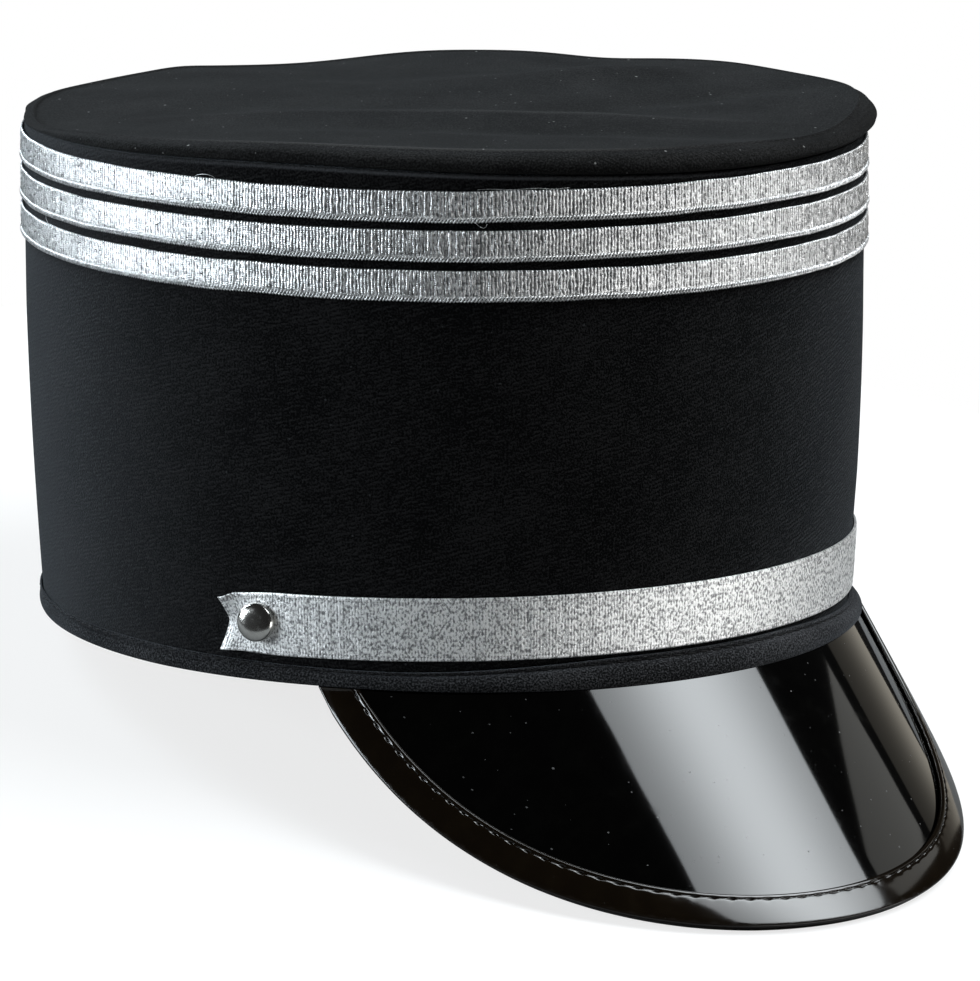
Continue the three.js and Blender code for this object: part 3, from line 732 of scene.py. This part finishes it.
# loose ends of thread: angles in degrees, heights and stand-off from the wall in mm, at points along each thread
looseThreads = {
    "angle": [(35.0, 33.2, 30.5, 27.6, 25.0, 23.0), (73.4, 72.8, 71.8, 70.9, 70.2, 69.8),
              (105.8, 105.4, 105.0, 104.6, 104.2, 103.9), (35.4, 35.0, 34.5, 34.2, 33.9, 33.8)],
    "height": [(110.2, 110.35, 110.2, 110.4, 110.15, 110.3), (109.8, 110.4, 110.8, 110.8, 110.4, 109.7),
               (95.4, 94.7, 94.0, 93.4, 92.7, 92.2), (103.3, 102.6, 102.1, 102.0, 102.4, 102.9)],
    "off": [(0.7, 1.0, 0.95, 1.1, 1.0, 0.7), (0.8, 1.1, 1.3, 1.3, 1.1, 0.8), (0.9, 1.3, 1.5, 1.5, 1.3, 0.9),
            (0.9, 1.1, 1.3, 1.3, 1.2, 1.0)],
    "radius": 0.05, "stations": 26, "sides": 5}


def looseEnds():
    # smooth run through each thread's points: a cubic between neighbouring points
    place = np.linspace(0, 5, looseThreads["stations"])
    row = np.minimum(place.astype(int), 4)

    def run(key):
        v = np.array(looseThreads[key])
        v = np.concatenate([2 * v[:, :1] - v[:, 1:2], v, 2 * v[:, -1:] - v[:, -2:-1]], 1)
        return cubic(*(v[:, row + k] for k in range(4)), place - row)

    angle, height, off = run("angle"), run("height"), run("off")
    line = wallPoint(angle, height, off)
    outward = wallPoint(angle, height, off + 1) - line
    radii = looseThreads["radius"] * (0.6 + 0.4 * np.sin(np.pi * place / 5)) + 0 * angle
    return tubeMesh("looseEnds", line, outward, radii, looseThreads["sides"])


addPiece("loose_thread_ends", looseEnds(), chainThread)

# strap and studs: mm, angles in degrees from the front; the seam is the dotted line inside both edges
strap = {"foot": 3.7, "climb": 0.0304, "width": 14.2, "tailDeg": 70.4, "notch": 1.95, "notchPlace": 0.54,
         "notchReach": 9, "taperDeg": 9.0, "tailDrop": 0.75, "tipDrop": 1.0, "tipDeg": 2.2, "tailRise": 0.5,
         "thickness": 0.6, "cordPitch": 0.7, "stepsPerCord": 3, "cordDepth": 0.04, "press": 0.24, "dimple": 6.0,
         "crease": 1.6, "flare": 1.5, "flareReach": (3.5, 9.5), "edgeDrop": 0.16, "seamDip": 0.12,
         "seam": (1.0, 0.16), "rumple": (90, 0.05), "grit": 0.012}
stud = {"angleDeg": 65.0, "height": 12.3, "radius": 4.35, "rise": 2.5, "rim": 0.36, "out": 1.35, "turnDeg": 10.0,
        "tipDeg": 9.0, "roundness": 2.9, "footRadii": (0, 2.0, 3.9, 4.25), "footHeights": (0, 0, 0, 0.08)}


def frontStrap():
    # ribbon round the front from tail to tail; each end runs back into a notch at mid width, dips round its stud
    # and flares at its tips; the face has shallow cords
    tailArc = arcAt(strap["tailDeg"])
    cords = int(2 * tailArc / strap["cordPitch"])
    columns = cords * strap["stepsPerCord"] + 1
    phase = np.arange(columns)[None, :] / strap["stepsPerCord"]
    run = (phase / cords * 2 - 1) * tailArc
    v = np.concatenate([[0, 0.012, 0.03], np.linspace(0.065, 0.935, 13), [0.97, 0.988, 1]])[:, None]
    nearEnd = smooth(tailArc - strap["notchReach"], tailArc, np.abs(run))
    below, above = 1 - v / strap["notchPlace"], (v - strap["notchPlace"]) / (1 - strap["notchPlace"])
    notch = strap["notch"] * (1 - np.maximum(below, above) ** 1.2) * nearEnd
    arc = run - np.sign(run) * notch
    angle = angleAtArc(arc)
    forward = crown["length"] / 2 * np.cos(np.radians(angle))
    plain = strap["foot"] + strap["climb"] * forward
    tail = smooth(strap["tailDeg"] - strap["taperDeg"], strap["tailDeg"], np.abs(angle))
    tip = smooth(strap["tailDeg"] - strap["tipDeg"], strap["tailDeg"], np.abs(angle))
    head = plain + strap["width"] - (strap["tailDrop"] * tail + strap["tipDrop"] * tip)
    level = mix(plain + strap["tailRise"] * tail, head, v)
    away = np.abs(arc) - arcAt(stud["angleDeg"])
    dimple = np.exp(-(away**2 + (level - stud["height"]) ** 2) / strap["dimple"] ** 2)
    crease = bell(level, stud["height"], strap["crease"]) * smooth(1, 6, away)
    flare = strap["flare"] * smooth(*strap["flareReach"], away) * np.abs(2 * v - 1) ** 1.5
    out = seat - strap["press"] * np.maximum(dimple, crease) + flare
    edge = np.minimum(v, 1 - v) * strap["width"]
    valley = 0.5 - 0.5 * np.cos(2 * np.pi * phase)
    rumple = drift(columns, *strap["rumple"])[None, :] + chance.normal(0, strap["grit"], (len(v), columns))
    lift = strap["thickness"] - strap["edgeDrop"] * (1 - smooth(0, 0.3, edge))
    lift = lift - strap["cordDepth"] * valley * smooth(0.1, 0.5, edge)
    lift = lift - strap["seamDip"] * bell(edge, *strap["seam"]) * (0.4 + 0.6 * valley) + rumple * smooth(0, 2, edge)
    points = np.concatenate([wallPoint(angle, level, out + lift), wallPoint(angle, level, out)[::-1]])
    height = np.concatenate([v, v[::-1], v[:1]]) * strap["width"]
    return gridMesh("frontStrap", points, joined(phase, height), closed=True, ends="strip", sharpDeg=60)


addPiece("front_strap_ribbon", frontStrap(), silverStrap, "front_strap")


def studDome(name, angleDeg):
    # profile turned about the wall's outward direction: a flat foot, a short rim, then a dome whose r and h follow
    # cos t and sin t to the power 2 / roundness, so that its middle is flatter than a ball's
    t = np.radians(np.linspace(0, 90, 26))
    power = 2 / stud["roundness"]
    r = np.concatenate([stud["footRadii"], stud["radius"] * np.cos(t).clip(0) ** power])
    h = np.concatenate([stud["footHeights"], mix(stud["rim"], stud["rise"], np.sin(t) ** power)])
    level = stud["height"]
    along = unit(wallPoint(angleDeg + 1, level, 0.0) - wallPoint(angleDeg - 1, level, 0.0))
    upward = unit(wallPoint(angleDeg, level + 1, 0.0) - wallPoint(angleDeg, level - 1, 0.0))
    outward, along = swing(np.cross(upward, along), along, -stud["turnDeg"] * np.sign(angleDeg))
    outward, upward = swing(outward, upward, stud["tipDeg"])
    turn = np.linspace(0, 2 * np.pi, 64, endpoint=False)
    spoke = np.cos(turn)[:, None] * along + np.sin(turn)[:, None] * upward
    base = wallPoint(angleDeg, level, 0.0) + outward * stud["out"]
    points = base + r[:, None, None] * spoke + h[:, None, None] * outward
    uv = joined(np.append(turn, 2 * np.pi)[None, :], rowLengths(points)[:, :1])
    return gridMesh(name, points, uv, around=True, poles=True, sharpDeg=60)


for node, name, side in (("rivet_right", "rivetRight", 1), ("rivet_left", "rivetLeft", -1)):
    addPiece(node + "_dome", studDome(name, side * stud["angleDeg"]), chrome, node)

hemStitchCount = round(ovalLength / hem["stitchPitch"])


def hemSection(angle, sink):
    # roll from under the wall, out round its belly, in to the stitched groove and up to its folded edge; a row is a
    # share of the height, a stand-off in mm, a share of the bulge, and how far it sinks at a stitch
    groove = hem["stitchLevel"]
    rows = [(0, 0.3, 0, 0), (-0.02, 0.3, 0.6, 0), (-0.09, 0.1, 1, 0), (-0.07, 0.46, 1, 0), (0.08, 0.62, 1, 0),
            (0.26, 0.6, 1, 0), (0.42, 0.42, 1, 0), (0.57, 0.1, 1, 0.15), (0.72, -0.35, 1, 0.5),
            (groove - 0.03, 0.65, 0.2, 1), (groove + 0.03, 0.5, 0.2, 1), (0.9, 0.75, 0.2, 0.4),
            (0.985, 0.6, 0.2, 0), (1, 0.4, 0.15, 0), (1, 0.3, 0, 0)]
    level, out, share, dent = np.array(rows).T[:, :, None]
    return wallPoint(angle, mix(hemFoot(angle), hemHead(angle), level), out + hemBulge(angle) * share - sink * dent)


def hemRoll():
    # the section carried round the hat, pulled in at each stitch, with slow puckers in the roll
    step = np.arange(hem["columns"])
    angle = angleAtArc((step / hem["columns"] - 0.5) * ovalLength)
    pull = 0.5 - 0.5 * np.cos(2 * np.pi * step / hem["columns"] * hemStitchCount)
    sink = hem["groove"] + hem["pull"] * pull**2 + drift(hem["columns"], *hem["pucker"])
    points = cutCorners(hemSection(angle, sink), 2)
    run = rowLengths(points)
    level = np.concatenate([run, run[-1:] + 2])
    uv = joined(np.append(arcAt(angle), ovalArc[-1])[None, :], np.append(level, level[:, :1], 1))
    return gridMesh("hemRoll", points, uv, around=True, closed=True)


def stitchArch(gap, points):
    # places along one stitch that leaves a gap at both ends, and its height there as a half sine
    t = np.linspace(gap, 1 - gap, points)[None, :]
    return t, np.sin(np.pi * (t - gap) / (1 - 2 * gap)).clip(0)


def hemStitches():
    # thread from hole to hole along the groove, arched outwards
    t, arch = stitchArch(hem["stitchGap"], 7)
    arc = ((np.arange(hemStitchCount)[:, None] + t) / hemStitchCount - 0.5) * ovalLength
    angle = angleAtArc(arc)
    level = mix(hemFoot(angle), hemHead(angle), hem["stitchLevel"] + 0.01)
    line = wallPoint(angle, level, hem["threadOut"] + 0.2 * hemBulge(angle) + hem["threadArch"] * arch)
    radii = hem["threadRadius"] * (0.45 + 0.55 * arch**0.5) + 0 * arc
    return tubeMesh("hemStitches", line, unit(line * np.array([1, 1, 0])), radii, 6)


addPiece("hem_roll", hemRoll(), hemTwill, "hem_binding")
addPiece("hem_stitching", hemStitches(), mattThread)

# peak: a sheet bent round the front of the oval, sloping forward and down, cut to a rounded flat pattern (mm)
peak = {"slopeDeg": 46.0, "rootHeight": 3.0, "halfWidth": 86.6, "depth": 101.6, "frontPower": 2.2, "thickness": 1.6,
        "columns": 220, "rows": 60, "bendSteps": 400}
binding = {"width": 8.0, "thickness": 1.0, "round": 2.0, "corner": 0.6, "clear": 1.0, "stitchMargin": 6.75,
           "stitchPitch": 4.1, "stepsPerStitch": 10, "stitchGap": 0.1, "threadRadius": 0.13, "threadSunk": 0.4,
           "threadArch": 0.24, "pull": 0.42}
slopeSin, slopeCos = np.sin(np.radians(peak["slopeDeg"])), np.cos(np.radians(peak["slopeDeg"]))
rootGrow = 1 + crown["flare"] * peak["rootHeight"] / crown["height"]
rootLength, rootWidth = crown["length"] / 2 * rootGrow, crown["width"] / 2 * rootGrow
downLine, frontNormal = np.array([0, -slopeCos, -slopeSin]), np.array([0, -slopeSin, slopeCos])
# distance across the flat pattern against the angle round the oval
bendAngle = np.linspace(0, 90, peak["bendSteps"] + 1)
bendMiddle = np.radians(bendAngle[:-1] + 45 / peak["bendSteps"])
bendStep = np.hypot(rootWidth * np.cos(bendMiddle), rootLength * slopeSin * np.sin(bendMiddle))
bendArc = np.concatenate([[0], np.cumsum(bendStep * np.radians(90 / peak["bendSteps"]))])


def peakSection(across):
    # section of the bent sheet at a distance across its flat pattern: angle, sideways place, rise, and its normal
    angle = np.sign(across) * np.interp(np.abs(across), bendArc, bendAngle)
    a = np.radians(angle)
    sideways = -rootWidth * np.sin(a)
    rise = rootLength * slopeSin * np.cos(a) + peak["rootHeight"] * slopeCos
    nx, ny = -np.sin(a) / rootWidth, np.cos(a) / (rootLength * slopeSin)
    size = np.hypot(nx, ny)
    return angle, sideways, rise, nx / size, ny / size


def peakPoint(across, down, lift):
    # point of the sheet: its section's place, moved down the straight lines, lifted along the section's normal
    _, sideways, rise, nx, ny = peakSection(across)
    flat = joined(sideways + lift * nx, 0.0, 0.0)
    return flat + (rise + lift * ny)[..., None] * frontNormal + np.asarray(down)[..., None] * downLine


def peakStart(across, lift):
    # where a straight line of the sheet begins, just under the hem
    angle, _, rise, _, ny = peakSection(across)
    return ((rise + lift * ny) * slopeCos - (hemFoot(angle) - seat)) / slopeSin


endAngle = np.radians(np.interp(peak["halfWidth"], bendArc, bendAngle))
endDown = rootLength * slopeCos * np.cos(endAngle) - peak["rootHeight"] * slopeSin


def peakOutline(turn, margin):
    # rounded outline of the flat pattern, half width cos t by depth sin t to a power, moved inwards by a margin
    def edge(t):
        s = np.abs(np.sin(t)) ** (2 / peak["frontPower"])
        return np.stack([peak["halfWidth"] * np.cos(t), endDown + peak["depth"] * s], -1)

    tangent = unit(edge(turn + 1e-4) - edge(turn - 1e-4))
    inward = np.stack([-tangent[..., 1], tangent[..., 0]], -1)
    return edge(turn) + inward * np.asarray(margin)[..., None]


bindingTop = seat + binding["thickness"]
bindingFoot = -peak["thickness"] - seat - binding["thickness"]
# first turn of the outline at which the whole folded strip lies clear below the hem
tryTurns = np.linspace(0.001, 0.8, 4000)[:, None]
tryMargins = np.array([0.0, binding["corner"], binding["round"], binding["width"]])[None, :]
tryPoints = peakOutline(tryTurns, tryMargins)
tryStarts = np.maximum(peakStart(tryPoints[..., 0], bindingTop), peakStart(tryPoints[..., 0], bindingFoot))
firstTurn = tryTurns[(tryPoints[..., 1] - tryStarts > binding["clear"]).all(1)][0, 0]


def peakSheet():
    # upper face down the straight lines from the hem to the folded strip, round the cut edge, and back underneath
    u = np.linspace(0, 1, peak["columns"])
    even = u - np.sin(2 * np.pi * u) / (4 * np.pi)
    edge = peakOutline(firstTurn + even * (np.pi - 2 * firstTurn), binding["round"] + seat)
    across = edge[:, 0][None, :]

    def face(share, lift):
        return peakPoint(across, mix(peakStart(across, lift), edge[:, 1], share), lift)

    down = np.linspace(0, 1, peak["rows"])[:, None]
    points = np.concatenate([face(down, 0.0), face(down[::-3], -peak["thickness"])])
    run = np.concatenate([rowLengths(points), rowLengths(points)[-1:] + peak["thickness"]])
    return gridMesh("peakSheet", points, joined(across, run), closed=True, ends=True, sharpDeg=40)


# turns of the outline at equal steps along the line of stitches
fineTurns = np.linspace(firstTurn, np.pi - firstTurn, 4000)
fineLine = peakOutline(fineTurns, binding["stitchMargin"])
fineRun = rowLengths(fineLine)
stitchCount = round(fineRun[-1] / binding["stitchPitch"])


def turnAtStitch(place):
    # turn of the outline at a number of stitches from its right end
    return np.interp(np.asarray(place) / stitchCount * fineRun[-1], fineRun, fineTurns)


def bindingStrip():
    # folded strip: a U-shaped section of margins in from the cut edge and lifts off the sheet, carried along the
    # outline; a shallow groove takes the stitches, pulled down further at each hole
    steps = stitchCount * binding["stepsPerStitch"]
    place = np.arange(steps + 1) / binding["stepsPerStitch"]
    turn = turnAtStitch(place)
    hole = (0.5 + 0.5 * np.cos(2 * np.pi * place)) ** 3
    top, foot, line = bindingTop, bindingFoot, binding["stitchMargin"]
    rows = [(8.0, 0.35, 0), (8.06, 0.7, 0), (7.92, top - 0.26, 0), (7.62, top - 0.02, 0), (7.3, top + 0.03, 0),
            (line + 0.36, top + 0.02, 0.08), (line + 0.2, top - 0.03, 0.35), (line, top - 0.1, 1),
            (line - 0.2, top - 0.03, 0.35), (line - 0.4, top + 0.03, 0.05), (line - 1.4, top + 0.06, 0),
            (4.2, top + 0.08, 0), (2.4, top + 0.04, 0), (0.7, top - 0.06, 0), (0.22, top - 0.2, 0),
            (0.1, top - 0.6, 0), (0.3, -0.8, 0), (0.6, foot + 1.2, 0), (1.1, foot + 0.5, 0), (2.0, foot + 0.05, 0),
            (4.0, foot, 0), (line - 0.4, foot, 0), (line, foot + 0.25, 0), (line + 0.4, foot, 0), (7.9, foot, 0),
            (8.05, foot + 0.5, 0), (8.0, -1.95, 0), (2.0, -1.9, 0), (2.0, 0.3, 0)]
    margin, lift, pull = np.array(rows).T[:, :, None]
    flat = peakOutline(turn[None, :], margin + 0 * turn)
    points = peakPoint(flat[..., 0], flat[..., 1], lift - binding["pull"] * pull * hole)
    tucked = [peakPoint(flat[:, k, 0], peakStart(flat[:, k, 0], lift[:, 0]), lift[:, 0])[:, None] for k in (0, -1)]
    points = cutCorners(np.concatenate([tucked[0], points, tucked[1]], 1), 1)
    run = np.concatenate([rowLengths(points), rowLengths(points)[-1:] + 6])
    along = np.concatenate([[-1], place, [stitchCount + 1]])[None, :] * binding["stitchPitch"]
    return gridMesh("bindingStrip", points, joined(along, run), closed=True, ends=True, sharpDeg=70)


def bindingStitches():
    # thread from hole to hole in the groove of the strip, arched as a half sine
    t, arch = stitchArch(binding["stitchGap"], 8)
    place = np.arange(stitchCount)[:, None] + t
    flat = peakOutline(turnAtStitch(place), binding["stitchMargin"])
    lift = bindingTop - binding["threadSunk"] + binding["threadArch"] * arch + 0 * place
    line = peakPoint(flat[..., 0], flat[..., 1], lift)
    outward = peakPoint(flat[..., 0], flat[..., 1], lift + 1) - line
    radii = binding["threadRadius"] * (0.4 + 0.6 * arch**0.5) + 0 * place
    return tubeMesh("bindingStitches", line, outward, radii, 6)


addPiece("peak_sheet", peakSheet(), patentPeak, "peak")
addPiece("peak_edge_strip", bindingStrip(), patentBinding, "peak_binding")
addPiece("peak_edge_stitching", bindingStitches(), glossThread)

# studio, in metres: pale floor, a large softbox over the right that fades to its sides, one low at the left, one
# behind, a wide dim one low in front, and two small dim cards at the right
studio = {
    "floorRadius": 0.28, "floorDrop": 0.0001, "floorColour": (0.2, 0.2, 0.2), "tableGlow": 0.77, "air": 0.02,
    "backdrop": 1.0, "middle": (0, -0.05, 0.06),
    "softboxes": [
        {"name": "overhead", "aim": (0.455, -0.164, 0.875), "across": (0.877, 0.265, -0.401), "distance": 1.6,
         "size": (1.27, 1.25), "glow": 12.2, "colour": (0.92, 0.97, 1.0), "hotPlace": 0.53, "hotSpread": 0.34,
         "rim": 0.33},
        {"name": "leftSide", "aim": (-0.885, 0.432, 0.174), "across": (0.438, 0.899, 0.0), "distance": 1.5,
         "size": (0.84, 0.46), "glow": 17.5, "colour": (0.86, 0.94, 1.0)},
        {"name": "leftBack", "aim": (-0.193, 0.907, 0.375), "across": (0.978, 0.208, 0.0), "distance": 1.5,
         "size": (0.6, 0.9), "glow": 12.0, "colour": (0.8, 0.92, 1.0)},
        {"name": "rightLow", "aim": (0.5, -0.866, 0.0), "across": (0.866, 0.5, 0.0), "distance": 1.5,
         "size": (2.0, 0.6), "glow": 2.7, "colour": (1.0, 1.0, 0.99)},
        {"name": "rightCard", "aim": (0.9177, -0.0791, 0.3892), "across": (-0.31, -0.742, 0.594), "distance": 0.509,
         "size": (0.215, 0.06), "glow": 0.7, "colour": (1.0, 1.0, 0.95)},
        {"name": "rightStrip", "aim": (0.9718, 0.2325, 0.0409), "across": (0.103, -0.583, 0.804), "distance": 0.514,
         "size": (0.204, 0.09), "glow": 0.78, "colour": (1.0, 0.93, 0.79), "hotPlace": 0.0, "hotSpread": 0.5,
         "rim": 0.2},
    ],
}


def paleFloor():
    # round sheet on the floor just under the hat, lifted to white for the camera as the backdrop is
    turn = np.linspace(0, 2 * np.pi, 128, endpoint=False)
    ring = np.stack([np.cos(turn), np.sin(turn), 0 * turn - studio["floorDrop"]], -1)
    ring[:, :2] *= studio["floorRadius"]
    mesh = bpy.data.meshes.new("floor")
    mesh.from_pydata(ring, [], [list(range(len(ring)))])
    material, wire, shader = startMaterial("paleFloor", {
        "Base Color": studio["floorColour"], "Roughness": 0.9, "Specular IOR Level": 0.1,
        "Emission Strength": studio["tableGlow"]})
    feed(shader, emissionColor=wire.add("LightPath", out="Is Camera Ray").blend((0, 0, 0), (1, 1, 1)))
    mesh.materials.append(material)
    floor = addObject("floor", mesh)


def softbox(box):
    # rectangular lamp facing the hat from its direction; its watts follow from its glow and area, and a bell across
    # it from the hot place dims it towards its sides
    back = unit(np.array(box["aim"]))
    right = unit(np.array(box["across"]) - back * np.dot(box["across"], back))
    up = np.cross(back, right)
    lamp = bpy.data.lights.new(box["name"], "AREA")
    lamp.shape = "RECTANGLE"
    lamp.size, lamp.size_y = box["size"]
    lamp.energy = box["glow"] * np.pi * box["size"][0] * box["size"][1]
    lamp.color = box["colour"]
    if "hotPlace" in box:
        lamp.use_nodes = True
        wire = Wire(lamp.node_tree)
        place = wire.add("SeparateXYZ", {}, {"Vector": wire.add("NewGeometry", out="Parametric")})
        away = (place - box["hotPlace"]) / box["hotSpread"]
        fall = away * away * -1
        glow = fall.math("EXPONENT", fall) * (1 - box["rim"]) + box["rim"]
        lamp.node_tree.links.new(glow.socket, lamp.node_tree.nodes["Emission"].inputs["Strength"])
    lampObject = addObject(box["name"], lamp)
    lampObject.visible_camera = False
    standAt(lampObject, right, up, back, back * box["distance"] + np.array(studio["middle"]))


def roomAir():
    # dim air for the hat, pale backdrop for the camera
    world = bpy.data.worlds.new("room")
    bpy.context.scene.world = world
    world.use_nodes = True
    tree = world.node_tree
    ground = tree.nodes["Background"]
    wire = Wire(tree)
    seen = wire.add("LightPath", out="Is Camera Ray")
    strength = seen * (studio["backdrop"] - studio["air"]) + studio["air"]
    tree.links.new(strength.socket, ground.inputs["Strength"])
    ground.inputs["Color"].default_value = (1, 1, 1, 1)


# camera as the picture was taken, set against the hat with its hem level (degrees, mm; the focal length in pixels)
view = {"azimuthDeg": -37.55, "elevationDeg": 11.37, "rollDeg": -0.08, "distance": 1500.4, "aimAcross": 10.80,
        "aimHeight": 24.69, "focal": 6480.0, "longSide": 981.0, "sensor": 36, "clip": (0.05, 20)}


def photoCamera():
    # stands at aim + back x distance, with its axes rolled by the roll, all carried along as the hat is set down
    a, e = np.radians(view["azimuthDeg"]), np.radians(view["elevationDeg"])
    back = np.array([np.sin(a) * np.cos(e), -np.cos(a) * np.cos(e), np.sin(e)])
    level = np.array([np.cos(a), np.sin(a), 0])
    right, up = swing(level, np.cross(back, level), view["rollDeg"])
    aim = level * view["aimAcross"] + np.array([0, 0, view["aimHeight"]])
    place = (turnBack(aim + back * view["distance"]) + rest["shift"]) / 1000
    lens = bpy.data.cameras.new("photo")
    lens.sensor_width = view["sensor"]
    lens.lens = view["focal"] / view["longSide"] * lens.sensor_width
    lens.clip_start, lens.clip_end = view["clip"]
    camera = addObject("photo", lens)
    standAt(camera, *turnBack(np.stack([right, up, back])), place)
    bpy.context.scene.camera = camera


paleFloor()
for box in studio["softboxes"]:
    softbox(box)
roomAir()
photoCamera()
bpy.context.scene.view_settings.view_transform = "Standard"
print("studio:", len(studio["softboxes"]), "softboxes")
